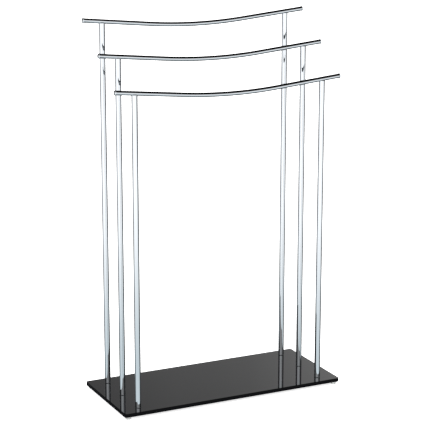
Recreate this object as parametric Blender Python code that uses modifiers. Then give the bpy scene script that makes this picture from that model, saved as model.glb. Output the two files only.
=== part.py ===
"""Free-standing towel stand: three chromed tube frames on a black glass base.

Each frame is two straight posts and one rail bent into a shallow smile. The frames
stand one behind the other and step up towards the back. Every post is drawn down onto
the glass by a screw from below.

Metres, +Z up. X runs along the rails, -Y is the front (the lowest rail), and the
origin is on the floor under the middle of the base.
"""

import bmesh
import bpy
from math import cos, pi, radians, sin, sqrt, tan
from mathutils import Matrix

MM = 0.001
GAP = 0.3 * MM                      # clearance left between touching pieces

# Base plate
PLATE_X = 500 * MM
PLATE_Y = 220 * MM
PLATE_T = 8 * MM
PLATE_CORNER_R = 6 * MM
PLATE_ARRIS = 0.8 * MM
FOOT_H = 6 * MM
FOOT_R = 6.3 * MM
FOOT_SHOULDER_R = 6.05 * MM         # where the foot starts to round in to its sole
FOOT_SHOULDER_H = 0.85 * MM
FOOT_SOLE_R = 5.35 * MM
FOOT_INSET = 10 * MM                # foot centre from each edge of the plate

# Frames
POST_X = 210 * MM                   # post axis from the middle
POST_R = 6.35 * MM                  # half-inch tube
FRAME_PITCH = 82 * MM               # from one frame to the next
RAIL_R = 4.75 * MM                  # three-eighths tube
TUBE_WALL = 1.0 * MM
RAIL_HALF = 250 * MM                # tube end from the middle, along X
RAIL_BEND_R = 1100 * MM
RAIL_END_SLOPE = radians(5.6)       # of the straight ends
FRONT_RAIL_Z = 633.5 * MM           # lowest point of the rail's axis above the glass
RAIL_STEP = 61.3 * MM               # each frame stands this much higher
SEAT_DEPTH = 1.6 * MM               # how far a post top comes up round its rail

# Fixings
HOLE_R = 4.5 * MM
SCREW_R = 3.0 * MM
SCREW_HEAD_R = 5.25 * MM
SCREW_HEAD_H = 2.6 * MM
HEAD_EDGE_H = 0.8 * MM              # the button head's upright edge
HEAD_SHOULDER_R = 4.5 * MM
HEAD_SHOULDER_H = 1.95 * MM
HEAD_FLAT_R = 3.15 * MM
SCREW_TIP = 0.8 * MM                # chamfer at the screw's end
SCREW_LENGTH = 28 * MM
SOCKET_ACROSS_FLATS = 4 * MM
SOCKET_DEPTH = 1.6 * MM
WASHER_R = 6.5 * MM
WASHER_T = 0.8 * MM
BUSH_FLANGE_R = 7.0 * MM
BUSH_FLANGE_T = 0.8 * MM
BUSH_SLEEVE_R = HOLE_R - GAP
BUSH_SLEEVE_H = 7 * MM
BOLT_BORE_R = SCREW_R + GAP
GASKET_R = 5.9 * MM
GASKET_T = 0.8 * MM
FOOT_PLUG_L = 24 * MM
TOP_PLUG_L = 8 * MM

# Rail end caps
CAP_R = 5.3 * MM
CAP_RIM = 1.0 * MM
CAP_DOME = 2.4 * MM
CAP_STEM_L = 9 * MM

# Facets
TUBE_SIDES = 24                     # round a post, a cap and a drilled hole
SMALL_SIDES = 16                    # round the smaller turned pieces
HALF_FACET = pi / TUBE_SIDES        # turns a post so that no edge lies in its rail's plane
RAIL_RESOLUTION = 7                 # of the curve's round bevel
RAIL_BEND_SEGMENTS = 12
CORNER_SEGMENTS = 6                 # at each rounded corner of the plate
DOME_STEPS = 5                      # from a cap's rim to its crown
SHARP_ANGLE = radians(30)
MERGE_DISTANCE = 1e-6
BORE_OVERRUN = 20 * MM              # of the rail bore's cutter past each end

# Levels
PLATE_BOTTOM = FOOT_H
PLATE_TOP = PLATE_BOTTOM + PLATE_T
POST_BOTTOM = PLATE_TOP + GAP + GASKET_T + GAP

FRAMES = {"front": -1, "middle": 0, "back": 1}
SIDES = {"left": -1, "right": 1}


# ---------------------------------------------------------------- helpers

def clear_scene():
    for obj in list(bpy.data.objects):
        bpy.data.objects.remove(obj, do_unlink=True)


def make_collection(name):
    collection = bpy.data.collections.new(name)
    bpy.context.scene.collection.children.link(collection)
    return collection


def make_material(name, colour, roughness, metallic):
    material = bpy.data.materials.new(name)
    material.use_nodes = True
    shader = material.node_tree.nodes["Principled BSDF"]
    shader.inputs["Base Color"].default_value = (*colour, 1.0)
    shader.inputs["Roughness"].default_value = roughness
    shader.inputs["Metallic"].default_value = metallic
    material.diffuse_color = (*colour, 1.0)
    return material


def add_object(name, data, collection, material=None):
    obj = bpy.data.objects.new(name, data)
    collection.objects.link(obj)
    if material:
        data.materials.clear()
        data.materials.append(material)
    return obj


def hide_cutter(obj):
    obj.hide_render = True
    obj.display_type = "WIRE"


def baked_mesh(obj):
    """The evaluated mesh of a temporary object, which is then removed."""
    bpy.context.view_layer.update()
    depsgraph = bpy.context.evaluated_depsgraph_get()
    mesh = bpy.data.meshes.new_from_object(obj.evaluated_get(depsgraph))
    bm = bmesh.new()
    bm.from_mesh(mesh)
    bmesh.ops.remove_doubles(bm, verts=bm.verts, dist=MERGE_DISTANCE)
    bm.to_mesh(mesh)
    bm.free()
    mesh.shade_smooth()
    mesh.set_sharp_from_angle(angle=SHARP_ANGLE)
    data = obj.data
    bpy.data.objects.remove(obj, do_unlink=True)
    if isinstance(data, bpy.types.Mesh):
        bpy.data.meshes.remove(data)
    else:
        bpy.data.curves.remove(data)
    return mesh


def turned(name, profile, sides, collection, closed):
    """A turned shape. The profile is (radius, height), down the outer side first.

    A closed profile is a ring, such as a washer or a tube. An open one starts and
    ends on the axis.
    """
    mesh = bpy.data.meshes.new(name)
    bm = bmesh.new()
    verts = [bm.verts.new((r, 0, z)) for r, z in profile]
    for a, b in zip(verts, verts[1:]):
        bm.edges.new((a, b))
    if closed:
        bm.edges.new((verts[-1], verts[0]))
    bm.to_mesh(mesh)
    bm.free()
    obj = add_object(name, mesh, collection)
    screw = obj.modifiers.new("turn", "SCREW")
    screw.axis = "Z"
    screw.angle = 2 * pi
    screw.steps = sides
    screw.render_steps = sides
    screw.use_merge_vertices = True
    screw.merge_threshold = MERGE_DISTANCE
    return obj


def subtract(obj, cutter):
    boolean = obj.modifiers.new("cut", "BOOLEAN")
    boolean.operation = "DIFFERENCE"
    boolean.solver = "EXACT"
    boolean.object = cutter


# ---------------------------------------------------------------- rail geometry

def rail_rise(x):
    """Height of the rail's axis above its lowest point, at a distance x from the middle."""
    bend_half = RAIL_BEND_R * sin(RAIL_END_SLOPE)
    x = abs(x)
    if x <= bend_half:
        return RAIL_BEND_R - sqrt(RAIL_BEND_R ** 2 - x ** 2)
    return RAIL_BEND_R * (1 - cos(RAIL_END_SLOPE)) + (x - bend_half) * tan(RAIL_END_SLOPE)


def rail_low(step):
    """Lowest point of a frame's rail axis above the floor."""
    return PLATE_TOP + FRONT_RAIL_Z + (step + 1) * RAIL_STEP


def rail_points(half_length):
    """The rail's axis in the XZ plane: a straight end, the bend, a straight end."""
    points = [(-half_length, rail_rise(half_length))]
    for i in range(RAIL_BEND_SEGMENTS + 1):
        angle = RAIL_END_SLOPE * (2 * i / RAIL_BEND_SEGMENTS - 1)
        points.append((RAIL_BEND_R * sin(angle), RAIL_BEND_R * (1 - cos(angle))))
    points.append((half_length, rail_rise(half_length)))
    return points


def rail_rod(name, radius, half_length, collection):
    """A solid round rod along the rail's axis, as a mesh."""
    curve = bpy.data.curves.new(name, "CURVE")
    curve.dimensions = "3D"
    curve.bevel_depth = radius
    curve.bevel_resolution = RAIL_RESOLUTION
    curve.use_fill_caps = True
    spline = curve.splines.new("POLY")
    points = rail_points(half_length)
    spline.points.add(len(points) - 1)
    for point, (x, z) in zip(spline.points, points):
        point.co = (x, 0, z, 1)
    return baked_mesh(add_object(name, curve, collection))


# ---------------------------------------------------------------- pieces

def plate_mesh(collection):
    mesh = bpy.data.meshes.new("plate_blank")
    bm = bmesh.new()
    bmesh.ops.create_cube(bm, size=1)
    bmesh.ops.scale(bm, vec=(PLATE_X, PLATE_Y, PLATE_T), verts=bm.verts)
    upright = [e for e in bm.edges if abs(e.verts[0].co.z - e.verts[1].co.z) > PLATE_T / 2]
    bmesh.ops.bevel(bm, geom=upright, offset=PLATE_CORNER_R, segments=CORNER_SEGMENTS,
                    profile=0.5, affect="EDGES")
    rim = [e for e in bm.edges if abs(e.verts[0].co.z - e.verts[1].co.z) < PLATE_T / 4]
    bmesh.ops.bevel(bm, geom=rim, offset=PLATE_ARRIS, segments=1, affect="EDGES")
    bmesh.ops.translate(bm, vec=(0, 0, (PLATE_BOTTOM + PLATE_TOP) / 2), verts=bm.verts)
    bm.to_mesh(mesh)
    bm.free()
    plate = add_object("plate_blank", mesh, collection)
    drill_mesh = bpy.data.meshes.new("hole_drill")
    bm = bmesh.new()
    for _, x, y in stations():
        middle = Matrix.Translation((x, y, (PLATE_BOTTOM + PLATE_TOP) / 2))
        bmesh.ops.create_cone(bm, cap_ends=True, segments=TUBE_SIDES, radius1=HOLE_R,
                              radius2=HOLE_R, depth=2 * PLATE_T, matrix=middle)
    bm.to_mesh(drill_mesh)
    bm.free()
    drill = add_object("hole_drill", drill_mesh, collection)
    hide_cutter(drill)
    subtract(plate, drill)
    mesh = baked_mesh(plate)
    bpy.data.objects.remove(drill, do_unlink=True)
    return mesh


def foot_mesh(collection):
    top = FOOT_H - GAP
    profile = [(0, top), (FOOT_R, top), (FOOT_SHOULDER_R, FOOT_SHOULDER_H), (FOOT_SOLE_R, 0),
               (0, 0)]
    return baked_mesh(turned("foot_blank", profile, SMALL_SIDES, collection, closed=False))


def cap_mesh(collection):
    """A push-in rail cap, along +Z from the tube's end face at z = 0."""
    stem_r = RAIL_R - TUBE_WALL - GAP
    rim_top = GAP + CAP_RIM
    dome = [(0, rim_top + CAP_DOME)]
    for i in range(1, DOME_STEPS + 1):
        angle = pi / 2 * (1 - i / DOME_STEPS)
        dome.append((CAP_R * cos(angle), rim_top + CAP_DOME * sin(angle)))
    profile = dome + [(CAP_R, GAP), (stem_r, GAP), (stem_r, -CAP_STEM_L), (0, -CAP_STEM_L)]
    return baked_mesh(turned("cap_blank", profile, TUBE_SIDES, collection, closed=False))


def screw_mesh(collection):
    """A button-head screw from below: the head's seat is at z = 0, the shank goes up."""
    profile = [(0, SCREW_LENGTH), (SCREW_R - SCREW_TIP, SCREW_LENGTH),
               (SCREW_R, SCREW_LENGTH - SCREW_TIP), (SCREW_R, 0), (SCREW_HEAD_R, 0),
               (SCREW_HEAD_R, -HEAD_EDGE_H), (HEAD_SHOULDER_R, -HEAD_SHOULDER_H),
               (HEAD_FLAT_R, -SCREW_HEAD_H), (0, -SCREW_HEAD_H)]
    blank = turned("screw_blank", profile, SMALL_SIDES, collection, closed=False)
    socket_mesh = bpy.data.meshes.new("socket_cutter")
    bm = bmesh.new()
    corner_r = SOCKET_ACROSS_FLATS / 2 / cos(pi / 6)
    bmesh.ops.create_cone(bm, cap_ends=True, segments=6, radius1=corner_r, radius2=corner_r,
                          depth=2 * SOCKET_DEPTH,
                          matrix=Matrix.Translation((0, 0, -SCREW_HEAD_H)))
    bm.to_mesh(socket_mesh)
    bm.free()
    socket = add_object("socket_cutter", socket_mesh, collection)
    hide_cutter(socket)
    subtract(blank, socket)
    mesh = baked_mesh(blank)
    bpy.data.objects.remove(socket, do_unlink=True)
    return mesh


def ring_mesh(name, outer_r, inner_r, thickness, collection):
    """A flat ring from z = 0 up."""
    profile = [(outer_r, thickness), (outer_r, 0), (inner_r, 0), (inner_r, thickness)]
    return baked_mesh(turned(name, profile, SMALL_SIDES, collection, closed=True))


def bush_mesh(collection):
    """A flanged bush: the flange hangs below z = 0, the sleeve goes up into the hole."""
    profile = [(BUSH_SLEEVE_R, BUSH_SLEEVE_H), (BUSH_SLEEVE_R, 0), (BUSH_FLANGE_R, 0),
               (BUSH_FLANGE_R, -BUSH_FLANGE_T), (BOLT_BORE_R, -BUSH_FLANGE_T),
               (BOLT_BORE_R, BUSH_SLEEVE_H)]
    return baked_mesh(turned("bush_blank", profile, SMALL_SIDES, collection, closed=True))


def post_top(step):
    """Height of a post's rim, which comes up a little round the rail."""
    return rail_low(step) + rail_rise(POST_X) - RAIL_R + SEAT_DEPTH


def post_object(name, step, collection):
    profile = [(POST_R, post_top(step)), (POST_R, POST_BOTTOM),
               (POST_R - TUBE_WALL, POST_BOTTOM), (POST_R - TUBE_WALL, post_top(step))]
    return turned(name, profile, TUBE_SIDES, collection, closed=True)


def top_plug_object(name, step, collection):
    radius = POST_R - TUBE_WALL - GAP
    top = post_top(step)
    profile = [(0, top), (radius, top), (radius, top - TOP_PLUG_L), (0, top - TOP_PLUG_L)]
    return turned(name, profile, SMALL_SIDES, collection, closed=False)


def stations():
    """Name, x and y of each of the six posts."""
    for frame, step in FRAMES.items():
        for side, sign in SIDES.items():
            yield f"{frame}_{side}", sign * POST_X, step * FRAME_PITCH


# ---------------------------------------------------------------- assembly

def build():
    clear_scene()
    parts = make_collection("towel_stand")
    cutters = make_collection("cutters")

    chrome = make_material("chrome_plate", (0.80, 0.81, 0.82), 0.06, 1.0)
    glass = make_material("black_glass", (0.012, 0.012, 0.014), 0.05, 0.0)
    rubber = make_material("clear_bumper", (0.55, 0.56, 0.56), 0.35, 0.0)
    zinc = make_material("zinc_plated_steel", (0.62, 0.63, 0.62), 0.32, 1.0)
    pvc = make_material("soft_pvc", (0.30, 0.30, 0.31), 0.55, 0.0)
    nylon = make_material("white_nylon", (0.82, 0.81, 0.77), 0.45, 0.0)

    add_object("base_plate", plate_mesh(parts), parts, glass)

    foot = foot_mesh(parts)
    foot_x = PLATE_X / 2 - FOOT_INSET
    foot_y = PLATE_Y / 2 - FOOT_INSET
    for row, y in (("front", -foot_y), ("back", foot_y)):
        for side, sign in SIDES.items():
            obj = add_object(f"foot_{row}_{side}", foot, parts, rubber)
            obj.location = (sign * foot_x, y, 0)

    # Rails, each with a slightly fatter twin that cuts the seats in its posts.
    bore = rail_rod("rail_bore", RAIL_R - TUBE_WALL, RAIL_HALF + BORE_OVERRUN, cutters)
    rod = rail_rod("rail_rod", RAIL_R, RAIL_HALF, cutters)
    seat = rail_rod("rail_seat", RAIL_R + GAP, RAIL_HALF, cutters)
    seat_cutters = {}
    for frame, step in FRAMES.items():
        place = (0, step * FRAME_PITCH, rail_low(step))
        bore_cutter = add_object(f"cut_bore_{frame}", bore, cutters)
        bore_cutter.location = place
        hide_cutter(bore_cutter)
        seat_cutters[frame] = add_object(f"cut_seat_{frame}", seat, cutters)
        seat_cutters[frame].location = place
        hide_cutter(seat_cutters[frame])
        rail = add_object(f"rail_{frame}", rod.copy(), parts, chrome)
        rail.location = place
        subtract(rail, bore_cutter)

    cap = cap_mesh(parts)
    for frame, step in FRAMES.items():
        for side, sign in SIDES.items():
            obj = add_object(f"rail_cap_{frame}_{side}", cap, parts, chrome)
            obj.location = (sign * RAIL_HALF, step * FRAME_PITCH,
                            rail_low(step) + rail_rise(RAIL_HALF))
            obj.rotation_euler = (0, sign * (pi / 2 - RAIL_END_SLOPE), 0)

    shared = {
        "foot_plug": (ring_mesh("plug_blank", POST_R - TUBE_WALL - GAP, BOLT_BORE_R,
                                FOOT_PLUG_L, parts), zinc, POST_BOTTOM + GAP),
        "gasket": (ring_mesh("gasket_blank", GASKET_R, BOLT_BORE_R, GASKET_T, parts),
                   pvc, PLATE_TOP + GAP),
        "hole_bush": (bush_mesh(parts), nylon, PLATE_BOTTOM - GAP),
        "washer": (ring_mesh("washer_blank", WASHER_R, BOLT_BORE_R, WASHER_T, parts), zinc,
                   PLATE_BOTTOM - 2 * GAP - BUSH_FLANGE_T - WASHER_T),
        "base_screw": (screw_mesh(parts), zinc,
                       PLATE_BOTTOM - 3 * GAP - BUSH_FLANGE_T - WASHER_T),
    }
    for name, x, y in stations():
        frame = name.split("_")[0]
        step = FRAMES[frame]
        for maker, prefix, material in ((post_object, "post", chrome),
                                        (top_plug_object, "top_plug", chrome)):
            obj = maker(f"{prefix}_{name}", step, parts)
            obj.data.materials.append(material)
            obj.location = (x, y, 0)
            obj.rotation_euler = (0, 0, HALF_FACET)
            subtract(obj, seat_cutters[frame])
        for prefix, (mesh, material, z) in shared.items():
            obj = add_object(f"{prefix}_{name}", mesh, parts, material)
            obj.location = (x, y, z)


build()
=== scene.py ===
"""Free-standing towel stand: three chromed tube frames on a black glass base.

Each frame is two straight posts and one rail bent into a shallow smile, and the frames
step up from front to back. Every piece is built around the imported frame, in metres, +Z
up, with X along the rails and -Y at the front.
"""

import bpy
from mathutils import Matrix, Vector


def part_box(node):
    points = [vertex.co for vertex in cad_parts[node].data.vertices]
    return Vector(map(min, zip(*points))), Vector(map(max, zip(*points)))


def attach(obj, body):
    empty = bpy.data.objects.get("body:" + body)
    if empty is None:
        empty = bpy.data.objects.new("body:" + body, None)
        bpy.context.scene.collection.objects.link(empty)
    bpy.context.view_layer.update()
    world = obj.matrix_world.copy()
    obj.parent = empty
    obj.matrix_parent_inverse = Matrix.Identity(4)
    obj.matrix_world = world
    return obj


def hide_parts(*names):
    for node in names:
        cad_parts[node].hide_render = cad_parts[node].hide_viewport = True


bl_info = {
    "name": "Towel Stand",
    "version": (1, 0, 0),
    "blender": (4, 5, 0),
    "location": "3D View > Sidebar > Towel Stand",
    "description": "Builds a three-tier chromed towel stand on a black glass base",
    "category": "Object",
}

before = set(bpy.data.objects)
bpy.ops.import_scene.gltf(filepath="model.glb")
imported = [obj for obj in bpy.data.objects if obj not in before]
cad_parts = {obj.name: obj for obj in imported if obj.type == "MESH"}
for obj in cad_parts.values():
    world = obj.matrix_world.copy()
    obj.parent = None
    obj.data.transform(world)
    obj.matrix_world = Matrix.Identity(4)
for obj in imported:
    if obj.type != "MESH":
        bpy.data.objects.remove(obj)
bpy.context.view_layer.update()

from math import ceil, cos, pi, radians, sin, sqrt, tan

import bmesh
import bpy
from bpy.props import FloatProperty, FloatVectorProperty, IntProperty, PointerProperty
from bpy.types import Operator, Panel, PropertyGroup
from mathutils import Matrix, Vector

MM = 0.001
TIERS = ("front", "middle", "back")
SIDES = {"left": -1, "right": 1}
STATIONS = [f"{tier}_{side}" for tier in TIERS for side in SIDES]
BODY = "root"
ON_AXIS = 0.0                    # radius of a profile's point on the axis
MERGE_DISTANCE = 1e-6
HOLD = 1.5                       # from a corner to its holding points, in cuts
SHARP_ANGLE = radians(35)        # turned pieces stay crisp over this
SEAT_ZONE = 6 * MM               # of an upright's top, which gives way to its rail
FLAT = 0.001                     # slant under which a face counts as upright or level
MATH = "ShaderNodeMath"
VECTOR_MATH = "ShaderNodeVectorMath"
SEPARATE = "ShaderNodeSeparateXYZ"
NOISE = "ShaderNodeTexNoise"
MAP_RANGE = "ShaderNodeMapRange"
SET_POSITION = "GeometryNodeSetPosition"


# ---------------- from the frame

def middle_of(node):
    low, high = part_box(node)
    return (low + high) / 2


def side_of(station):
    """-1 at the left, 1 at the right."""
    return SIDES[station.split("_")[1]]


def nodes_named(prefix):
    """The six nodes of one kind, one at each post."""
    return [f"{prefix}_{station}" for station in STATIONS]


# ---------------- settings

def linear(hex_code):
    """An sRGB hex colour as linear red, green and blue."""
    values = [int(hex_code[i:i + 2], 16) / 255 for i in (1, 3, 5)]
    return tuple(v / 12.92 if v <= 0.04045 else ((v + 0.055) / 1.055) ** 2.4 for v in values)


class TowelStandSizes(PropertyGroup):
    plate_corner: FloatProperty(
        name="Plate corner", description="Radius of the glass plate's corners",
        default=6 * MM, min=0, unit="LENGTH")
    plate_arris: FloatProperty(
        name="Plate arris", description="Radius ground along every edge of the glass",
        default=0.8 * MM, min=0.1 * MM, unit="LENGTH")
    hole_radius: FloatProperty(
        name="Drilled hole", description="Radius of the holes through the glass",
        default=4.5 * MM, min=0, unit="LENGTH")
    post_radius: FloatProperty(
        name="Post radius", description="Outer radius of the half-inch posts",
        default=6.35 * MM, min=0, unit="LENGTH")
    rail_radius: FloatProperty(
        name="Rail radius", description="Outer radius of the three-eighths rails",
        default=4.75 * MM, min=0, unit="LENGTH")
    tube_wall: FloatProperty(
        name="Tube wall", description="Wall of the posts and rails",
        default=1.0 * MM, min=0, unit="LENGTH")
    tube_edge: FloatProperty(
        name="Tube edge", description="Rounding of the tubes' polished ends",
        default=0.2 * MM, min=0, unit="LENGTH")
    rail_half: FloatProperty(
        name="Rail half length", description="From the middle to the end of a rail, level",
        default=250 * MM, min=0, unit="LENGTH")
    bend_radius: FloatProperty(
        name="Rail bend", description="Radius of the bend in the middle of each rail",
        default=1100 * MM, min=0, unit="LENGTH")
    end_slope: FloatProperty(
        name="Rail end slope", description="Slope of the straight ends of each rail",
        default=radians(5.6), min=0, unit="ROTATION")
    weld_bead: FloatProperty(
        name="Weld bead", description="Radius of the polished weld round each seat",
        default=0.55 * MM, min=0, unit="LENGTH")
    thread_pitch: FloatProperty(
        name="Thread pitch", description="Pitch of the M6 base screws",
        default=1.0 * MM, min=0.1 * MM, unit="LENGTH")
    tube_sides: IntProperty(
        name="Tube sides", description="Facets round a tube", default=72, min=12)
    small_sides: IntProperty(
        name="Small sides", description="Facets round a cap, foot or fixing",
        default=48, min=12)


class TowelStandFinishes(PropertyGroup):
    chrome: FloatVectorProperty(
        name="Chrome", description="Colour of the bright chrome plate",
        default=linear("#C8CCD0"), min=0, max=1, subtype="COLOR")
    cap: FloatVectorProperty(
        name="Satin chrome", description="Colour of the satin chrome caps",
        default=linear("#DDE1E4"), min=0, max=1, subtype="COLOR")
    glass: FloatVectorProperty(
        name="Black glass", description="Body colour of the glass plate",
        default=linear("#08080A"), min=0, max=1, subtype="COLOR")
    bumper: FloatVectorProperty(
        name="Bumper", description="Colour of the clear polyurethane feet",
        default=linear("#DCDEDC"), min=0, max=1, subtype="COLOR")
    zinc: FloatVectorProperty(
        name="Zinc plate", description="Colour of the bright zinc plate",
        default=linear("#BFC4C8"), min=0, max=1, subtype="COLOR")
    nylon: FloatVectorProperty(
        name="Nylon", description="Colour of the natural nylon bushes",
        default=linear("#E6E2D6"), min=0, max=1, subtype="COLOR")
    pvc: FloatVectorProperty(
        name="Soft PVC", description="Colour of the gaskets under the posts",
        default=linear("#55575A"), min=0, max=1, subtype="COLOR")


class TowelStandStudio(PropertyGroup):
    azimuth: FloatProperty(
        name="Camera azimuth", description="Round the stand, from straight in front",
        default=-0.4515, unit="ROTATION")
    elevation: FloatProperty(
        name="Camera elevation", description="Above the horizon",
        default=0.2399, unit="ROTATION")
    distance: FloatProperty(
        name="Camera distance", description="From the camera to the point it looks at",
        default=3.2737, min=0.1, unit="LENGTH")
    aim: FloatVectorProperty(
        name="Camera aim", description="The point that the camera looks at",
        default=(-0.0032, -0.0019, 0.3854), subtype="XYZ", unit="LENGTH")
    lens: FloatProperty(
        name="Lens", description="Focal length on a 36 mm sensor",
        default=132.93, min=1, unit="CAMERA")
    floor_radius: FloatProperty(
        name="Floor radius", description="Radius of the plain floor",
        default=9.0, min=0.5, unit="LENGTH")
    floor_colour: FloatVectorProperty(
        name="Floor", description="Colour of the plain floor",
        default=linear("#F4F4F4"), min=0, max=1, subtype="COLOR")
    light: FloatProperty(
        name="Light", description="Strength of the even light on the floor",
        default=1.7, min=0)
    floor_glow: FloatProperty(
        name="Floor glow", description="Light from the floor itself, which is lit from below",
        default=0.7, min=0)
    chrome_light: FloatProperty(
        name="Reflected light", description="Strength of what the chrome and glass reflect",
        default=1.9, min=0)


# ---------------- nodes and trees

def add_node(tree, kind, inputs=None, **settings):
    """Adds a node. An input is a value, a socket, or a node, which gives its first output."""
    node = tree.nodes.new(kind)
    for name, value in settings.items():
        setattr(node, name, value)
    for key, value in (inputs or {}).items():
        if isinstance(value, bpy.types.Node):
            value = value.outputs[0]
        if isinstance(value, bpy.types.NodeSocket):
            tree.links.new(value, node.inputs[key])
        else:
            node.inputs[key].default_value = value
    return node


def add_object(name, data):
    """A new object in the scene."""
    item = bpy.data.objects.new(name, data)
    bpy.context.scene.collection.objects.link(item)
    return item


def plain_mesh(carrier):
    """The mesh that an object comes to. The object itself isn't kept."""
    evaluated = carrier.evaluated_get(bpy.context.evaluated_depsgraph_get())
    made = bpy.data.meshes.new_from_object(evaluated)
    bpy.data.objects.remove(carrier)
    return made


def new_tree(name, **sockets):
    """A geometry tree with a geometry input, and one named input for each socket given."""
    tree = bpy.data.node_groups.new(name, "GeometryNodeTree")
    tree.interface.new_socket("Geometry", in_out="OUTPUT", socket_type="NodeSocketGeometry")
    tree.interface.new_socket("Geometry", in_out="INPUT", socket_type="NodeSocketGeometry")
    for label, kind in sockets.items():
        tree.interface.new_socket(label.replace("_", " "), in_out="INPUT",
                                  socket_type=f"NodeSocket{kind}")
    return tree, add_node(tree, "NodeGroupInput").outputs


def end_tree(tree, geometry, material):
    """Every tree ends in real geometry with its material on it."""
    real = add_node(tree, "GeometryNodeRealizeInstances", {"Geometry": geometry})
    painted = add_node(tree, "GeometryNodeSetMaterial", {"Geometry": real, "Material": material})
    add_node(tree, "NodeGroupOutput", {"Geometry": painted})
    return tree


def end_moved_tree(tree, given, shape, place):
    """Ends a tree that moves every point, and the whole piece to its place."""
    placed = add_node(tree, VECTOR_MATH, {0: shape, 1: given[place]}, operation="ADD")
    moved = add_node(tree, SET_POSITION, {"Geometry": given["Geometry"], "Position": placed})
    return end_tree(tree, moved, given["Finish"])


def mesh_from_tree(mesh, tree, **values):
    """The plain mesh that a geometry tree makes of a mesh."""
    carrier = add_object(mesh.name, mesh)
    modifier = carrier.modifiers.new("shape", "NODES")
    modifier.node_group = tree
    for item in tree.interface.items_tree:
        key = item.name.replace(" ", "_")
        if item.in_out == "INPUT" and key in values:
            modifier[item.identifier] = values[key]
    return plain_mesh(carrier)


def rail_bend_tree():
    """Bends a straight tube along X: an arc in the middle that runs on into straight ends."""
    tree, given = new_tree("Rail bend", Bend_radius="Float", End_slope="Float", Middle="Vector",
                           Finish="Material")
    x, y, z = add_node(tree, SEPARATE, {0: add_node(tree, "GeometryNodeInputPosition")}).outputs
    radius, slope = given["Bend radius"], given["End slope"]
    away = add_node(tree, MATH, {0: x}, operation="ABSOLUTE")
    side = add_node(tree, MATH, {0: x}, operation="SIGN")
    turned = add_node(tree, MATH, {0: away, 1: radius}, operation="DIVIDE")
    angle = add_node(tree, MATH, {0: turned, 1: slope}, operation="MINIMUM")
    arc = add_node(tree, MATH, {0: radius, 1: slope}, operation="MULTIPLY")
    past = add_node(tree, MATH, {0: away, 1: arc}, operation="SUBTRACT")
    straight = add_node(tree, MATH, {0: past, 1: 0.0}, operation="MAXIMUM")
    sine = add_node(tree, MATH, {0: angle}, operation="SINE")
    cosine = add_node(tree, MATH, {0: angle}, operation="COSINE")
    # Distance from the bend's centre, less what stands off the axis on the inner side.
    reach = add_node(tree, MATH, {0: radius, 1: z}, operation="SUBTRACT")
    across = add_node(tree, MATH, {0: reach, 1: sine}, operation="MULTIPLY")
    run = add_node(tree, MATH, {0: straight, 1: cosine, 2: across}, operation="MULTIPLY_ADD")
    fall = add_node(tree, MATH, {0: reach, 1: cosine}, operation="MULTIPLY")
    rise = add_node(tree, MATH, {0: straight, 1: sine, 2: radius}, operation="MULTIPLY_ADD")
    along = add_node(tree, MATH, {0: run, 1: side}, operation="MULTIPLY")
    height = add_node(tree, MATH, {0: rise, 1: fall}, operation="SUBTRACT")
    bent = add_node(tree, "ShaderNodeCombineXYZ", {"X": along, "Y": y, "Z": height})
    return end_moved_tree(tree, given, bent, "Middle")


def seat_tree():
    """Shortens the top of an upright piece so that it fits under a sloping round rail."""
    tree, given = new_tree("Rail seat", Rail_radius="Float", Rail_height="Float",
                           Slope="Float", Rim="Float", Depth="Float", Foot="Vector",
                           Finish="Material")
    x, y, z = add_node(tree, SEPARATE, {0: add_node(tree, "GeometryNodeInputPosition")}).outputs
    radius, rim, depth = given["Rail radius"], given["Rim"], given["Depth"]
    tangent = add_node(tree, MATH, {0: given["Slope"]}, operation="TANGENT")
    axis = add_node(tree, MATH, {0: x, 1: tangent, 2: given["Rail height"]},
                    operation="MULTIPLY_ADD")
    y_squared = add_node(tree, MATH, {0: y, 1: y}, operation="MULTIPLY")
    r_squared = add_node(tree, MATH, {0: radius, 1: radius}, operation="MULTIPLY")
    inside = add_node(tree, MATH, {0: r_squared, 1: y_squared}, operation="SUBTRACT")
    clear = add_node(tree, MATH, {0: inside, 1: 0.0}, operation="MAXIMUM")
    chord = add_node(tree, MATH, {0: clear}, operation="SQRT")
    cosine = add_node(tree, MATH, {0: given["Slope"]}, operation="COSINE")
    drop = add_node(tree, MATH, {0: chord, 1: cosine}, operation="DIVIDE")
    under = add_node(tree, MATH, {0: axis, 1: drop}, operation="SUBTRACT")
    top = add_node(tree, MATH, {0: under, 1: rim}, operation="MINIMUM")
    # Only the last stretch below the rim gives way.
    low = add_node(tree, MATH, {0: rim, 1: depth}, operation="SUBTRACT")
    left = add_node(tree, MATH, {0: top, 1: low}, operation="SUBTRACT")
    share = add_node(tree, MATH, {0: left, 1: depth}, operation="DIVIDE")
    above = add_node(tree, MATH, {0: z, 1: low}, operation="SUBTRACT")
    stretch = add_node(tree, MATH, {0: above, 1: 0.0}, operation="MAXIMUM")
    rest = add_node(tree, MATH, {0: z, 1: stretch}, operation="SUBTRACT")
    height = add_node(tree, MATH, {0: stretch, 1: share, 2: rest}, operation="MULTIPLY_ADD")
    seated = add_node(tree, "ShaderNodeCombineXYZ", {"X": x, "Y": y, "Z": height})
    return end_moved_tree(tree, given, seated, "Foot")


def copies_tree():
    """Puts a copy of one piece on every point, turned by the point's own turn."""
    tree, given = new_tree("Place copies", Piece="Object", Finish="Material")
    piece = add_node(tree, "GeometryNodeObjectInfo", {"Object": given["Piece"]})
    turn = add_node(tree, "GeometryNodeInputNamedAttribute", {"Name": "turn"},
                    data_type="FLOAT_VECTOR")
    copies = add_node(tree, "GeometryNodeInstanceOnPoints",
                      {"Points": given["Geometry"], "Instance": piece.outputs["Geometry"],
                       "Rotation": turn})
    return end_tree(tree, copies, given["Finish"])


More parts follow.
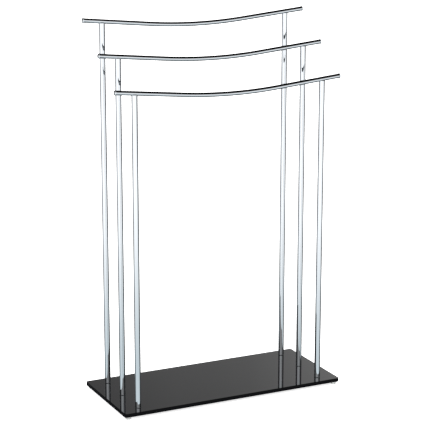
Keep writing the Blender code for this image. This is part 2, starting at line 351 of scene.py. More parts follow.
def bead_tree():
    """Sweeps a round bead along every closed loop of edges."""
    tree, given = new_tree("Bead", Bead_radius="Float", Sides="Int", Finish="Material")
    path = add_node(tree, "GeometryNodeMeshToCurve", {"Mesh": given["Geometry"]})
    ring = add_node(tree, "GeometryNodeCurvePrimitiveCircle",
                    {"Resolution": given["Sides"], "Radius": given["Bead radius"]})
    bead = add_node(tree, "GeometryNodeCurveToMesh",
                    {"Curve": path, "Profile Curve": ring.outputs["Curve"]})
    smooth = add_node(tree, "GeometryNodeSetShadeSmooth", {"Geometry": bead})
    return end_tree(tree, smooth, given["Finish"])


def thread_tree():
    """Cuts a screw thread: the radius rises and falls once a pitch, and once a turn."""
    tree, given = new_tree("Thread", Pitch="Float", Thread_depth="Float", Start="Float",
                           End="Float", Finish="Material")
    position = add_node(tree, "GeometryNodeInputPosition")
    x, y, z = add_node(tree, SEPARATE, {0: position}).outputs
    angle = add_node(tree, MATH, {0: y, 1: x}, operation="ARCTAN2")
    turns = add_node(tree, MATH, {0: angle, 1: 2 * pi}, operation="DIVIDE")
    pitches = add_node(tree, MATH, {0: z, 1: given["Pitch"]}, operation="DIVIDE")
    phase = add_node(tree, MATH, {0: pitches, 1: turns}, operation="SUBTRACT")
    wave = add_node(tree, MATH, {0: phase, 1: 0.5}, operation="PINGPONG")
    above = add_node(tree, MATH, {0: z, 1: given["Start"]}, operation="GREATER_THAN")
    below = add_node(tree, MATH, {0: z, 1: given["End"]}, operation="LESS_THAN")
    threaded = add_node(tree, MATH, {0: above, 1: below}, operation="MULTIPLY")
    depth = add_node(tree, MATH, {0: given["Thread depth"], 1: -2.0}, operation="MULTIPLY")
    cut = add_node(tree, MATH, {0: wave, 1: depth}, operation="MULTIPLY")
    inward = add_node(tree, MATH, {0: cut, 1: threaded}, operation="MULTIPLY")
    flat = add_node(tree, VECTOR_MATH, {0: position, 1: (1, 1, 0)}, operation="MULTIPLY")
    outward = add_node(tree, VECTOR_MATH, {0: flat}, operation="NORMALIZE")
    offset = add_node(tree, VECTOR_MATH, {0: outward, "Scale": inward}, operation="SCALE")
    moved = add_node(tree, SET_POSITION, {"Geometry": given["Geometry"], "Offset": offset})
    return end_tree(tree, moved, given["Finish"])


# ---------------- mesh helpers

def softened(corners, steps=4):
    """A profile whose corners (radius, height, cut) are rounded from cut before to cut after.

    A point just before each rounding and one just after it keep the shading of the long
    faces beside it flat.
    """
    points = []
    for i, (radius, height, cut) in enumerate(corners):
        corner = Vector((radius, height))
        if not cut:
            points.append(corner)
            continue
        back = (Vector(corners[i - 1][:2]) - corner).normalized() * cut
        on = (Vector(corners[(i + 1) % len(corners)][:2]) - corner).normalized() * cut
        points.append(corner + back * HOLD)
        for k in range(steps + 1):
            share = k / steps
            points.append(corner + back * (1 - share) ** 2 + on * share ** 2)
        points.append(corner + on * HOLD)
    return points


def divided(points, longest):
    """The same closed profile with no stretch longer than longest."""
    result = []
    for a, b in zip(points, points[1:] + points[:1]):
        count = max(1, ceil((b - a).length / longest))
        result += [a.lerp(b, k / count) for k in range(count)]
    return result


def ring_points(radius, height, sides, hexagonal):
    """A ring round Z. A hexagonal one has its radius across the flats."""
    for i in range(sides):
        angle = 2 * pi * i / sides
        reach = radius
        if hexagonal:
            reach = radius / cos((angle % (pi / 3)) - pi / 6)
        yield reach * cos(angle), reach * sin(angle), height


def turned_mesh(name, profile, sides, closed=False, hexagonal=()):
    """A body turned about Z from (radius, height) points, down its outer side.

    A closed profile is a ring. An open one starts and ends on the axis. The points whose
    numbers are in hexagonal become hexagons.
    """
    bm = bmesh.new()
    rings = []
    for number, (radius, height) in enumerate(profile):
        if radius == ON_AXIS:
            rings.append([bm.verts.new((0, 0, height))])
            continue
        points = ring_points(radius, height, sides, number in hexagonal)
        rings.append([bm.verts.new(point) for point in points])
    pairs = list(zip(rings, rings[1:]))
    if closed:
        pairs.append((rings[-1], rings[0]))
    for above, below in pairs:
        for i in range(sides):
            j = (i + 1) % sides
            corners = (above[i % len(above)], below[i % len(below)],
                       below[j % len(below)], above[j % len(above)])
            bm.faces.new(dict.fromkeys(corners))
    bmesh.ops.recalc_face_normals(bm, faces=bm.faces)
    mesh = bpy.data.meshes.new(name)
    bm.to_mesh(mesh)
    bm.free()
    mesh.shade_smooth()
    mesh.set_sharp_from_angle(angle=SHARP_ANGLE)
    return mesh


def finish_piece(name, mesh, nodes):
    """The finished piece rides on the stand and stands for its CAD nodes."""
    mesh.name = name
    piece = add_object(name, mesh)
    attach(piece, BODY)
    if nodes:
        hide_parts(*nodes)


def place_copies(name, master_mesh, places, material, nodes):
    """One mesh of several copies. A place is a position and a turn about X, Y and Z."""
    points = bpy.data.meshes.new(f"{name}_points")
    points.from_pydata([position for position, _ in places], [], [])
    turn = points.attributes.new("turn", "FLOAT_VECTOR", "POINT")
    for item, (_, angles) in zip(turn.data, places):
        item.vector = angles
    master = bpy.data.objects.new(f"{name}_master", master_mesh)
    mesh = mesh_from_tree(points, copies_tree(), Piece=master, Finish=material)
    bpy.data.objects.remove(master)
    finish_piece(name, mesh, nodes)


def copies_at_nodes(name, master_mesh, nodes, material):
    """An upright copy on the axis of each node. The master has its real height already."""
    middles = [middle_of(node) for node in nodes]
    places = [((middle.x, middle.y, 0), (0, 0, 0)) for middle in middles]
    place_copies(name, master_mesh, places, material, nodes)


def turned_rings(name, profile, sizes, nodes, material):
    """One ring, turned from a closed profile, at each node."""
    master = turned_mesh(f"{name}_master", profile, sizes.small_sides, closed=True)
    copies_at_nodes(name, master, nodes, material)


# ---------------- finishes

def new_material(name, colour, roughness, metallic=0.0, **sockets):
    """A material whose even values sit on the shader's own sockets."""
    material = bpy.data.materials.new(name)
    material.use_nodes = True
    tree = material.node_tree
    shader = tree.nodes["Principled BSDF"]
    shader.inputs["Base Color"].default_value = (*colour, 1)
    shader.inputs["Roughness"].default_value = roughness
    shader.inputs["Metallic"].default_value = metallic
    for label, value in sockets.items():
        shader.inputs[label.replace("_", " ")].default_value = value
    return material, tree, shader


def patterned_material(name, colour, roughness, **sockets):
    """A new material, and the object's own coordinates for its patterns."""
    material, tree, shader = new_material(name, colour, roughness, **sockets)
    return material, tree, shader, add_node(tree, "ShaderNodeTexCoord").outputs["Object"]


def surface(tree, shader, gloss, span=None, roughness=None, relief=None, strength=0.0,
            depth=0.0001):
    """Gives a shader its fine detail.

    As the gloss pattern crosses its span, the roughness goes from its first value to its
    second. With no span the pattern is the roughness itself. The relief pattern stands up
    by its depth in metres.
    """
    if span:
        gloss = add_node(tree, MAP_RANGE, {
            "Value": gloss, "From Min": span[0], "From Max": span[1],
            "To Min": roughness[0], "To Max": roughness[1]})
    tree.links.new(gloss.outputs[0], shader.inputs["Roughness"])
    if relief:
        bump = add_node(tree, "ShaderNodeBump",
                        {"Height": relief, "Strength": strength, "Distance": depth})
        tree.links.new(bump.outputs[0], shader.inputs["Normal"])


def chrome_plate(name, colour, along):
    """Bright chrome over polished tube: a clear blue-white mirror.

    Faint draw lines run along the tube, and dried water leaves softer patches.
    """
    material, tree, shader, place = patterned_material(name, colour, 0.03, metallic=1.0)
    lines_across = 1400          # draw lines about 0.7 mm apart
    lines_along = 5              # and some 200 mm long
    scale = [lines_across] * 3
    scale[along] = lines_along
    drawn = add_node(tree, "ShaderNodeMapping", {"Vector": place, "Scale": scale})
    lines = add_node(tree, NOISE, {"Vector": drawn, "Scale": 1.0, "Detail": 2.0})
    # Water marks some 30 mm across.
    marks = add_node(tree, NOISE,
                     {"Vector": place, "Scale": 30.0, "Detail": 4.0, "Roughness": 0.6})
    fine = add_node(tree, MAP_RANGE, {"Value": lines, "From Min": 0.35, "From Max": 0.75,
                                      "To Min": 0.02, "To Max": 0.05})
    dried = add_node(tree, MAP_RANGE, {"Value": marks, "From Min": 0.55, "From Max": 0.8,
                                       "To Min": 0.0, "To Max": 0.05})
    rough = add_node(tree, MATH, {0: fine, 1: dried}, operation="ADD")
    surface(tree, shader, rough, relief=lines, strength=0.02)
    return material


def satin_chrome(colour):
    """Satin chrome plate on a pressed cap: the blue-white metal, blurred to a pale glow."""
    material, tree, shader, place = patterned_material(
        "satin_chrome_plated_cap", colour, 0.4, metallic=1.0)
    # A blasted grain, drawn as coarse as 0.6 mm so that it shows.
    grain = add_node(tree, NOISE, {"Vector": place, "Scale": 1800.0, "Detail": 2.0})
    surface(tree, shader, grain, (0.3, 0.7), (0.36, 0.48))
    return material


def black_glass(colour):
    """Toughened black glass, polished: a deep dark mirror with faint wiping marks."""
    material, tree, shader, place = patterned_material(
        "black_toughened_glass", colour, 0.02, IOR=1.52)
    # Wiping marks some 110 mm long and 25 mm wide, and a faint 70 mm wave in the glass.
    wiped = add_node(tree, "ShaderNodeMapping",
                     {"Vector": place, "Rotation": (0, 0, 0.5), "Scale": (9, 40, 40)})
    streaks = add_node(tree, NOISE, {"Vector": wiped, "Scale": 1.0, "Detail": 4.0})
    wave = add_node(tree, NOISE, {"Vector": place, "Scale": 14.0, "Detail": 0.0})
    surface(tree, shader, streaks, (0.4, 0.8), (0.012, 0.05), wave, 0.05, 0.0004)
    return material


def ground_glass_edge(colour):
    """The plate's ground and polished edge: nearly black, a little duller than the face, with
    its reflection all but switched off as painted shade.
    """
    # A specular level of 0.02 all but removes the glass's reflection, so the edge's blackness is
    # painted shade, not the dark reflection a real ground edge gives.
    material, tree, shader, place = patterned_material(
        "ground_glass_edge", colour, 0.2, IOR=1.52, Specular_IOR_Level=0.02)
    # Wheel lines 0.4 mm apart.
    wheel = add_node(tree, "ShaderNodeMapping", {"Vector": place, "Scale": (40, 40, 2600)})
    lines = add_node(tree, NOISE, {"Vector": wheel, "Scale": 1.0, "Detail": 3.0})
    surface(tree, shader, lines, (0.3, 0.7), (0.12, 0.28))
    return material


def clear_polyurethane(colour):
    """A soft clear bumper: light goes through it, and its skin is a little dulled."""
    material, tree, shader, place = patterned_material(
        "clear_polyurethane", colour, 0.25, IOR=1.49, Transmission_Weight=0.7)
    # Dust in specks of about 1 mm.
    dust = add_node(tree, NOISE, {"Vector": place, "Scale": 900.0, "Detail": 3.0})
    surface(tree, shader, dust, (0.3, 0.7), (0.18, 0.36))
    return material


def zinc_plate(colour):
    """Bright zinc over pressed steel: pale grey, with a fine satin grain and dull patches."""
    material, tree, shader, place = patterned_material(
        "bright_zinc_plate", colour, 0.3, metallic=1.0)
    # A grain drawn as coarse as 0.7 mm so that it shows, and patches of 4 mm.
    grain = add_node(tree, NOISE, {"Vector": place, "Scale": 1500.0, "Detail": 3.0})
    patches = add_node(tree, NOISE, {"Vector": place, "Scale": 260.0, "Detail": 2.0})
    surface(tree, shader, patches, (0.35, 0.65), (0.22, 0.42), grain, 0.15)
    return material


def moulded_nylon(colour):
    """Natural moulded nylon: waxy off-white with a faint flow grain."""
    material, tree, shader, place = patterned_material(
        "moulded_nylon", colour, 0.45, IOR=1.53, Subsurface_Weight=0.15, Subsurface_Scale=0.002)
    # A grain of 0.9 mm.
    grain = add_node(tree, NOISE, {"Vector": place, "Scale": 1100.0, "Detail": 3.0})
    surface(tree, shader, grain, (0, 1), (0.38, 0.55), grain, 0.1)
    return material


def soft_pvc(colour):
    """Soft grey PVC sheet, cut into rings: dull, with a fine pebbled skin."""
    material, tree, shader, place = patterned_material(
        "soft_pvc", colour, 0.55, IOR=1.53)
    # Pebbles 0.5 mm across.
    pebble = add_node(tree, "ShaderNodeTexVoronoi", {"Vector": place, "Scale": 2200.0})
    surface(tree, shader, pebble, (0, 1), (0.5, 0.65), pebble, 0.2)
    return material


# ---------------- pieces

def arc(centre, radius, start, end, steps):
    """Points round an arc in the plane."""
    for i in range(steps + 1):
        angle = start + (end - start) * i / steps
        yield centre[0] + radius * cos(angle), centre[1] + radius * sin(angle)


def add_outline(curve, points):
    """A closed straight-sided outline in a flat curve."""
    spline = curve.splines.new("POLY")
    spline.points.add(len(points) - 1)
    for item, (x, y) in zip(spline.points, points):
        item.co = (x, y, 0, 1)
    spline.use_cyclic_u = True


def face_kind(face):
    """The plate's top and bottom, its upright edge, or the ground arris between them."""
    slant = abs(face.normal.z)
    if slant > 1 - FLAT:
        return "face"
    return "edge" if slant < FLAT else "arris"


def build_glass_base(sizes, finishes):
    low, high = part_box("base_plate")
    middle = (low + high) / 2
    half_x = (high.x - low.x) / 2
    half_y = (high.y - low.y) / 2
    corner = sizes.plate_corner
    curve = bpy.data.curves.new("glass_base", "CURVE")
    curve.dimensions = "2D"
    curve.fill_mode = "BOTH"
    curve.bevel_depth = sizes.plate_arris
    curve.bevel_resolution = 3
    curve.offset = -sizes.plate_arris
    curve.extrude = (high.z - low.z) / 2 - sizes.plate_arris
    corner_steps = 10
    hole_points = 48
    outline = []
    for quarter, (sx, sy) in enumerate(((1, 1), (-1, 1), (-1, -1), (1, -1))):
        centre = (middle.x + sx * (half_x - corner), middle.y + sy * (half_y - corner))
        start = quarter * pi / 2
        outline += arc(centre, corner, start, start + pi / 2, corner_steps)
    add_outline(curve, outline)
    for node in nodes_named("post"):
        post = middle_of(node)
        circle = arc((post.x, post.y), sizes.hole_radius, 2 * pi, 0, hole_points)
        add_outline(curve, list(circle)[:-1])
    mesh = plain_mesh(add_object("glass_base_curve", curve))
    mesh.transform(Matrix.Translation((0, 0, middle.z)))
    mesh.materials.clear()
    mesh.materials.append(black_glass(finishes.glass))
    # The edge slot takes the glass colour with its reflection cut: painted shade.
    mesh.materials.append(ground_glass_edge(finishes.glass))
    bm = bmesh.new()
    bm.from_mesh(mesh)
    bmesh.ops.remove_doubles(bm, verts=bm.verts, dist=MERGE_DISTANCE)
    bmesh.ops.recalc_face_normals(bm, faces=bm.faces)
    face_slot, edge_slot = 0, 1
    for face in bm.faces:
        face.smooth = True
        face.material_index = face_slot if face_kind(face) == "face" else edge_slot
    for edge in bm.edges:
        edge.smooth = len({face_kind(face) for face in edge.link_faces}) == 1
    bm.to_mesh(mesh)
    bm.free()
    finish_piece("glass_base", mesh, ["base_plate"])


def rail_axis(tier, sizes):
    """The lowest point of a rail's axis."""
    middle = middle_of(f"rail_{tier}")
    return Vector((middle.x, middle.y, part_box(f"rail_{tier}")[0].z + sizes.rail_radius))


def rail_rise(x, sizes):
    """How far the straight end of a rail's axis stands above its lowest point."""
    bent = sizes.bend_radius * sin(sizes.end_slope)
    rise = sizes.bend_radius * (1 - cos(sizes.end_slope))
    return rise + (abs(x) - bent) * tan(sizes.end_slope)


def build_rails(sizes, finishes):
    material = chrome_plate("chrome_plated_rail", finishes.chrome, along=0)
    arc_length = sizes.bend_radius * sizes.end_slope
    bent = sizes.bend_radius * sin(sizes.end_slope)
    half = arc_length + (sizes.rail_half - bent) / cos(sizes.end_slope)
    outer = sizes.rail_radius
    inner = outer - sizes.tube_wall
    edge = sizes.tube_edge
    corners = [(outer, half, edge), (outer, -half, edge), (inner, -half, edge),
               (inner, half, edge)]
    ring_spacing = 8 * MM
    profile = divided(softened(corners, steps=3), ring_spacing)
    tree = rail_bend_tree()
    for tier in TIERS:
        straight = turned_mesh(f"rail_{tier}_blank", profile, sizes.tube_sides, closed=True)
        straight.transform(Matrix.Rotation(pi / 2, 4, "Y"))
        mesh = mesh_from_tree(straight, tree, Bend_radius=sizes.bend_radius,
                              End_slope=sizes.end_slope, Middle=rail_axis(tier, sizes),
                              Finish=material)
        finish_piece(f"rail_tube_{tier}", mesh, [f"rail_{tier}"])


def seat_of(station, sizes):
    """A post's place and rim, and the height and slope of its rail's axis over it."""
    post = middle_of(f"post_{station}")
    axis = rail_axis(station.split("_")[0], sizes)
    height = axis.z + rail_rise(post.x - axis.x, sizes)
    return post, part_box(f"post_{station}")[1].z, height, side_of(station) * sizes.end_slope


def seat_values(station, sizes, material):
    """What the seat tree needs at one post, with the post's own axis at zero."""
    post, rim, height, slope = seat_of(station, sizes)
    return {"Rail_radius": sizes.rail_radius, "Rail_height": height, "Slope": slope, "Rim": rim,
            "Depth": SEAT_ZONE, "Foot": Vector((post.x, post.y, 0)), "Finish": material}


def gasket_top(station):
    """The post stands on its gasket, and the gasket on the glass, with no gap."""
    low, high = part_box(f"gasket_{station}")
    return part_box("base_plate")[1].z + high.z - low.z


def build_posts(sizes, finishes):
    material = chrome_plate("chrome_plated_post", finishes.chrome, along=2)
    tree = seat_tree()
    for station in STATIONS:
        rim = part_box(f"post_{station}")[1].z
        foot = gasket_top(station)
        outer = sizes.post_radius
        inner = outer - sizes.tube_wall
        edge = sizes.tube_edge
        corners = [(outer, rim, edge), (outer, rim - SEAT_ZONE, 0), (outer, foot, edge),
                   (inner, foot, edge), (inner, rim - SEAT_ZONE, 0), (inner, rim, edge)]
        blank = turned_mesh(f"post_{station}_blank", softened(corners, steps=3),
                            sizes.tube_sides, closed=True)
        mesh = mesh_from_tree(blank, tree, **seat_values(station, sizes, material))
        finish_piece(f"post_tube_{station}", mesh, [f"post_{station}"])


def build_top_plugs(sizes, finishes):
    material = chrome_plate("chrome_plated_plug", finishes.chrome, along=2)
    tree = seat_tree()
    radius = sizes.post_radius - sizes.tube_wall
    rings = 8
    joined = bmesh.new()
    for station in STATIONS:
        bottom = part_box(f"top_plug_{station}")[0].z
        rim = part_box(f"post_{station}")[1].z
        face = [Vector((radius * i / rings, rim)) for i in range(rings + 1)]
        profile = face + [Vector((radius, rim - SEAT_ZONE)), Vector((radius, bottom)),
                          Vector((ON_AXIS, bottom))]
        blank = turned_mesh(f"plug_{station}_blank", profile, sizes.tube_sides)
        mesh = mesh_from_tree(blank, tree, **seat_values(station, sizes, material))
        joined.from_mesh(mesh)
    joined.to_mesh(mesh)
    joined.free()
    finish_piece("post_top_plugs", mesh, nodes_named("top_plug"))


def weld_loop(station, sizes):
    """The line where a rail's underside meets the post's wall and the plug's flat top."""
    post, rim, height, slope = seat_of(station, sizes)
    steps = 96
    for i in range(steps):
        angle = 2 * pi * i / steps
        x = sizes.post_radius * cos(angle)
        above_rim = (height + x * tan(slope) - rim) * cos(slope)
        reach = sqrt(sizes.rail_radius ** 2 - above_rim ** 2)
        y = max(-reach, min(reach, sizes.post_radius * sin(angle)))
        drop = sqrt(sizes.rail_radius ** 2 - y ** 2) / cos(slope)
        yield post.x + x, post.y + y, height + x * tan(slope) - drop


def build_seat_welds(sizes, finishes):
    material = chrome_plate("chrome_plated_weld", finishes.chrome, along=2)
    points, edges = [], []
    for station in STATIONS:
        loop = list(weld_loop(station, sizes))
        first = len(points)
        points += loop
        edges += [(first + i, first + (i + 1) % len(loop)) for i in range(len(loop))]
    path = bpy.data.meshes.new("weld_path")
    path.from_pydata(points, edges, [])
    bead_sides = 12
    mesh = mesh_from_tree(path, bead_tree(), Bead_radius=sizes.weld_bead, Sides=bead_sides,
                          Finish=material)
    finish_piece("seat_welds", mesh, [])


def build_rail_caps(sizes, finishes):
    cap_radius = 5.3 * MM
    rim = 1.0 * MM
    dome = 2.4 * MM
    stem_length = 9 * MM
    stem_rounding = 0.8 * MM
    edge = 0.2 * MM
    gap = 0.05 * MM
    stem = sizes.rail_radius - sizes.tube_wall
    steps = 14
    profile = [Vector((ON_AXIS, gap + rim + dome))]
    for i in range(1, steps + 1):
        angle = pi / 2 * i / steps
        profile.append(Vector((cap_radius * sin(angle), gap + rim + dome * cos(angle))))
    back = [(cap_radius, gap + rim, 0), (cap_radius, gap, edge), (stem, gap, 0),
            (stem, -stem_length, stem_rounding), (ON_AXIS, -stem_length, 0)]
    profile += softened(back)[1:]
    master = turned_mesh("rail_cap_master", profile, sizes.small_sides)
    places = []
    for station in STATIONS:
        axis = rail_axis(station.split("_")[0], sizes)
        side = side_of(station)
        height = axis.z + rail_rise(sizes.rail_half, sizes)
        places.append(((axis.x + side * sizes.rail_half, axis.y, height),
                       (0, side * (pi / 2 - sizes.end_slope), 0)))
    material = satin_chrome(finishes.cap)
    place_copies("rail_end_caps", master, places, material,
                 nodes_named("rail_cap"))


def build_gaskets(sizes, finishes):
    bore = 3.3 * MM
    outer = 5.9 * MM
    edge = 0.15 * MM
    top = gasket_top(STATIONS[0])
    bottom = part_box("base_plate")[1].z
    corners = [(outer, top, edge), (outer, bottom, edge), (bore, bottom, 0), (bore, top, 0)]
    turned_rings("foot_gaskets", softened(corners), sizes, nodes_named("gasket"),
                 soft_pvc(finishes.pvc))


def build_foot_plugs(sizes, finishes):
    nodes = nodes_named("foot_plug")
    low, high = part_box(nodes[0])
    outer = sizes.post_radius - sizes.tube_wall
    chamfer = 0.6 * MM
    bore = 3.05 * MM
    bore_chamfer = 0.4 * MM
    corners = [(outer, high.z, chamfer), (outer, low.z, chamfer),
               (bore, low.z, bore_chamfer), (bore, high.z, bore_chamfer)]
    turned_rings("post_foot_plugs", softened(corners, steps=1), sizes, nodes,
                 zinc_plate(finishes.zinc))


def build_hole_bushes(sizes, finishes):
    nodes = nodes_named("hole_bush")
    low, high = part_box(nodes[0])
    flange_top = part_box("base_plate")[0].z
    sleeve = sizes.hole_radius - 0.05 * MM
    flange = 7.0 * MM
    bore = 3.3 * MM
    edge = 0.25 * MM
    corners = [(sleeve, high.z, edge), (sleeve, flange_top, 0), (flange, flange_top, edge),
               (flange, low.z, edge), (bore, low.z, 0), (bore, high.z, 0)]
    turned_rings("hole_bushes", softened(corners), sizes, nodes,
                 moulded_nylon(finishes.nylon))


def build_washers(sizes, finishes):
    nodes = nodes_named("washer")
    low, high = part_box(nodes[0])
    outer = 6.5 * MM
    bore = 3.25 * MM
    edge = 0.15 * MM
    corners = [(outer, high.z, edge), (outer, low.z, edge), (bore, low.z, edge),
               (bore, high.z, edge)]
    turned_rings("screw_washers", softened(corners, steps=2), sizes, nodes,
                 zinc_plate(finishes.zinc))


def build_base_screws(sizes, finishes):
    nodes = nodes_named("base_screw")
    low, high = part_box(nodes[0])
    shank = 2.95 * MM
    plain_length = 8 * MM
    tip_chamfer = 0.8 * MM
    thread_depth = 0.5 * MM
    points_a_pitch = 6
    head = 5.25 * MM
    head_height = 2.6 * MM
    head_edge = 0.8 * MM
    head_chamfer = 0.2 * MM
    dome_steps = 8
    socket = 2.0 * MM
    socket_rim = 0.9 * MM
    socket_depth = 1.6 * MM
    drill_point = 0.3 * MM
    seat = low.z + head_height
    thread_start = seat + plain_length
    thread_end = high.z - tip_chamfer
    profile = [Vector((ON_AXIS, high.z)), Vector((shank - tip_chamfer, high.z)),
               Vector((shank, thread_end))]
    step = sizes.thread_pitch / points_a_pitch
    count = round((thread_end - thread_start) / step)
    profile += [Vector((shank, thread_end - step * i)) for i in range(1, count + 1)]
    profile += [Vector((shank, seat)), Vector((head - head_chamfer, seat)),
                Vector((head, seat - head_chamfer)), Vector((head, seat - head_edge))]
    face = socket + socket_rim
    for i in range(1, dome_steps + 1):
        angle = pi / 2 * i / dome_steps
        drop = head_edge + (head_height - head_edge) * sin(angle)
        profile.append(Vector((face + (head - face) * cos(angle), seat - drop)))
    hexagonal = {len(profile), len(profile) + 1}
    profile += [Vector((socket, low.z)), Vector((socket, low.z + socket_depth)),
                Vector((ON_AXIS, low.z + socket_depth + drill_point))]
    blank = turned_mesh("base_screw_blank", profile, sizes.small_sides, hexagonal=hexagonal)
    zinc = zinc_plate(finishes.zinc)
    master = mesh_from_tree(blank, thread_tree(), Pitch=sizes.thread_pitch,
                            Thread_depth=thread_depth, Start=thread_start, End=thread_end,
                            Finish=zinc)
    copies_at_nodes("base_screws", master, nodes, zinc)


def build_feet(sizes, finishes):
    nodes = [f"foot_{row}_{side}" for row in ("front", "back") for side in SIDES]
    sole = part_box(nodes[0])[0].z
    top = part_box("base_plate")[0].z
    radius = 6.3 * MM
    band = 1.0 * MM
    shoulder, shoulder_height = 0.95 * radius, 0.9 * MM
    # (radius, height, rounding), from the glass down to the sole
    corners = [(ON_AXIS, top, 0), (radius, top, 0.2 * MM), (radius, top - band, 0.3 * MM),
               (shoulder, shoulder_height, 0.7 * MM), (0.82 * radius, sole, 0.4 * MM),
               (ON_AXIS, sole, 0)]
    master = turned_mesh("bumper_foot_master", softened(corners, steps=6), sizes.small_sides)
    copies_at_nodes("bumper_feet", master, nodes, clear_polyurethane(finishes.bumper))


# ---------------- stage

def build_camera(studio):
    data = bpy.data.cameras.new("stand_camera")
    data.lens = studio.lens
    data.clip_start = 0.05
    data.clip_end = 100
    camera = add_object("stand_camera", data)
    level = cos(studio.elevation)
    back = Vector((sin(studio.azimuth) * level, -cos(studio.azimuth) * level,
                   sin(studio.elevation)))
    camera.location = Vector(studio.aim) + back * studio.distance
    camera.rotation_euler = (-back).to_track_quat("-Z", "Y").to_euler()
    bpy.context.scene.camera = camera


def build_floor(studio):
    mesh = bpy.data.meshes.new("floor")
    bm = bmesh.new()
    bmesh.ops.create_circle(bm, cap_ends=True, radius=studio.floor_radius, segments=96)
    bm.to_mesh(mesh)
    bm.free()
    floor = add_object("floor", mesh)
    material, _, _ = new_material(
        "plain_floor", studio.floor_colour, 0.9, Specular_IOR_Level=0.0,
        Emission_Color=(1, 1, 1, 1), Emission_Strength=studio.floor_glow)
    mesh.materials.append(material)
    floor.visible_glossy = False


def add_ramp(tree, factor, stops):
    """A smooth ramp from (position, red, green, blue) stops, or (position, grey) stops."""
    node = add_node(tree, "ShaderNodeValToRGB", {"Fac": factor})
    ramp = node.color_ramp
    ramp.interpolation = "EASE"
    for position, *_ in stops[1:-1]:
        ramp.elements.new(position)
    for element, (_, *levels) in zip(ramp.elements, stops):
        element.color = (*(levels * 3)[:3], 1)
    return node


def build_world(studio):
    world = bpy.data.worlds.new("studio")
    bpy.context.scene.world = world
    world.use_nodes = True
    tree = world.node_tree
    tree.nodes.clear()
    direction = add_node(tree, "ShaderNodeTexCoord").outputs["Generated"]
    # Round the stand from the camera's side, as a share of a whole turn.
    turned = add_node(tree, "ShaderNodeVectorRotate",
                      {"Vector": direction, "Angle": -studio.azimuth}, rotation_type="Z_AXIS")
    x, y, z = add_node(tree, SEPARATE, {0: turned}).outputs
    forward = add_node(tree, MATH, {0: y, 1: -1.0}, operation="MULTIPLY")
    angle = add_node(tree, MATH, {0: x, 1: forward}, operation="ARCTAN2")
    share = add_node(tree, MATH, {0: angle, 1: 1 / (2 * pi), 2: 0.5}, operation="MULTIPLY_ADD")
    # Below the horizon a wide pale sweep faces the stand, with dark flags beside it and a
    # narrow pale panel behind.
    sweep = add_ramp(tree, share, [
        (0.0, 0.25), (0.02, 0.25), (0.035, 0.95), (0.085, 0.95), (0.105, 0.10), (0.25, 0.10),
        (0.28, 0.74), (0.33, 0.90), (0.5, 0.92), (0.68, 0.85), (0.727, 0.12), (0.88, 0.10),
        (1.0, 0.25)])
    # Above it are one window, the same narrow panel, and a grey wall behind.
    window = add_ramp(tree, share, [
        (0.0, 0.225), (0.02, 0.12), (0.04, 0.10), (0.05, 0.90), (0.085, 0.90), (0.10, 0.06),
        (0.33, 0.06), (0.39, 0.95), (0.61, 0.95), (0.67, 0.06), (0.90, 0.08), (0.95, 0.50),
        (0.98, 0.44), (1.0, 0.225)])
    height = add_node(tree, MATH, {0: z, 1: 0.5, 2: 0.5}, operation="MULTIPLY_ADD")
    above = add_ramp(tree, height, [(0.0, 0.0), (0.5, 0.0), (0.56, 1.0), (1.0, 1.0)])
    level = add_node(tree, "ShaderNodeMixRGB", {"Fac": above, "Color1": sweep, "Color2": window})
    # Low down the sweep falls into a cooler shade, and the ceiling is dark.
    rise = add_ramp(tree, height, [
        (0.0, 0.42, 0.46, 0.48), (0.2, 0.42, 0.46, 0.48), (0.33, 0.53, 0.59, 0.61),
        (0.39, 1.0), (0.66, 1.0), (0.76, 0.05), (0.95, 0.02), (1.0, 0.01)])
    both = add_node(tree, "ShaderNodeMixRGB", {"Fac": 1.0, "Color1": level, "Color2": rise},
                    blend_type="MULTIPLY")
    surroundings = add_node(tree, "ShaderNodeBackground",
                            {"Color": both, "Strength": studio.chrome_light})
    even = add_node(tree, "ShaderNodeBackground", {"Color": (1, 1, 1, 1),
                                                   "Strength": studio.light})
    rays = add_node(tree, "ShaderNodeLightPath")
    mixed = add_node(tree, "ShaderNodeMixShader",
                     {"Fac": rays.outputs["Is Glossy Ray"], 1: even, 2: surroundings})
    add_node(tree, "ShaderNodeOutputWorld", {"Surface": mixed})


# ---------------- operators

def settings_of(context):
    """The stand's sizes and finishes."""
    return context.scene.towel_stand_sizes, context.scene.towel_stand_finishes


class TOWELSTAND_OT_stage(Operator):
    """Set the camera, the plain floor and the soft even light"""
    bl_idname = "towelstand.stage"
    bl_label = "Stage"

    def execute(self, context):
        studio = context.scene.towel_stand_studio
        build_camera(studio)
        build_floor(studio)
        build_world(studio)
        context.scene.view_settings.view_transform = "Standard"
        return {"FINISHED"}


class TOWELSTAND_OT_glass_base(Operator):
    """Build the black glass base with its six drilled holes and ground edges"""
    bl_idname = "towelstand.glass_base"
    bl_label = "Glass Base"

    def execute(self, context):
        build_glass_base(*settings_of(context))
        return {"FINISHED"}


class TOWELSTAND_OT_feet(Operator):
    """Build the four clear bumper feet"""
    bl_idname = "towelstand.feet"
    bl_label = "Feet"

    def execute(self, context):
        build_feet(*settings_of(context))
        return {"FINISHED"}


class TOWELSTAND_OT_rails(Operator):
    """Build the three bent rails"""
    bl_idname = "towelstand.rails"
    bl_label = "Rails"

    def execute(self, context):
        build_rails(*settings_of(context))
        return {"FINISHED"}


class TOWELSTAND_OT_posts(Operator):
    """Build the six posts, each cut to seat its rail"""
    bl_idname = "towelstand.posts"
    bl_label = "Posts"

    def execute(self, context):
        build_posts(*settings_of(context))
        return {"FINISHED"}


class TOWELSTAND_OT_top_plugs(Operator):
    """Build the plugs that close the post tops, and the welds round the seats"""
    bl_idname = "towelstand.top_plugs"
    bl_label = "Top Plugs and Welds"

    def execute(self, context):
        build_top_plugs(*settings_of(context))
        build_seat_welds(*settings_of(context))
        return {"FINISHED"}


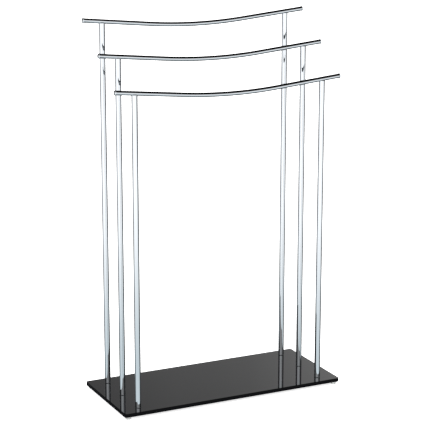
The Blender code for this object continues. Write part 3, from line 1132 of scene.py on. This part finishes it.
class TOWELSTAND_OT_rail_caps(Operator):
    """Build the domed caps at the rail ends"""
    bl_idname = "towelstand.rail_caps"
    bl_label = "Rail Caps"

    def execute(self, context):
        build_rail_caps(*settings_of(context))
        return {"FINISHED"}


class TOWELSTAND_OT_fixings(Operator):
    """Build the gaskets, foot plugs, bushes, washers and screws that hold the posts down"""
    bl_idname = "towelstand.fixings"
    bl_label = "Fixings"

    def execute(self, context):
        for build in (build_gaskets, build_foot_plugs, build_hole_bushes, build_washers,
                      build_base_screws):
            build(*settings_of(context))
        return {"FINISHED"}


BUILD_ORDER = (
    TOWELSTAND_OT_stage,
    TOWELSTAND_OT_glass_base,
    TOWELSTAND_OT_feet,
    TOWELSTAND_OT_rails,
    TOWELSTAND_OT_posts,
    TOWELSTAND_OT_top_plugs,
    TOWELSTAND_OT_rail_caps,
    TOWELSTAND_OT_fixings,
)


class TOWELSTAND_PT_panel(Panel):
    """Lists the stand's pieces in the order they are built"""
    bl_idname = "TOWELSTAND_PT_panel"
    bl_label = "Towel Stand"
    bl_space_type = "VIEW_3D"
    bl_region_type = "UI"
    bl_category = "Towel Stand"

    def draw(self, context):
        for settings in ("sizes", "finishes", "studio"):
            group = getattr(context.scene, f"towel_stand_{settings}")
            column = self.layout.column(heading=settings.capitalize())
            for name in group.__annotations__:
                column.prop(group, name)
        for operator in BUILD_ORDER:
            self.layout.operator(operator.bl_idname)


SETTINGS = {
    "towel_stand_sizes": TowelStandSizes,
    "towel_stand_finishes": TowelStandFinishes,
    "towel_stand_studio": TowelStandStudio,
}
CLASSES = (*SETTINGS.values(), *BUILD_ORDER, TOWELSTAND_PT_panel)


def register():
    for item in CLASSES:
        bpy.utils.register_class(item)
    for name, group in SETTINGS.items():
        setattr(bpy.types.Scene, name, PointerProperty(type=group))


def unregister():
    for name in SETTINGS:
        delattr(bpy.types.Scene, name)
    for item in reversed(CLASSES):
        bpy.utils.unregister_class(item)


def main():
    register()
    for operator in BUILD_ORDER:
        group, name = operator.bl_idname.split(".")
        getattr(getattr(bpy.ops, group), name)()


if __name__ == "__main__":
    main()
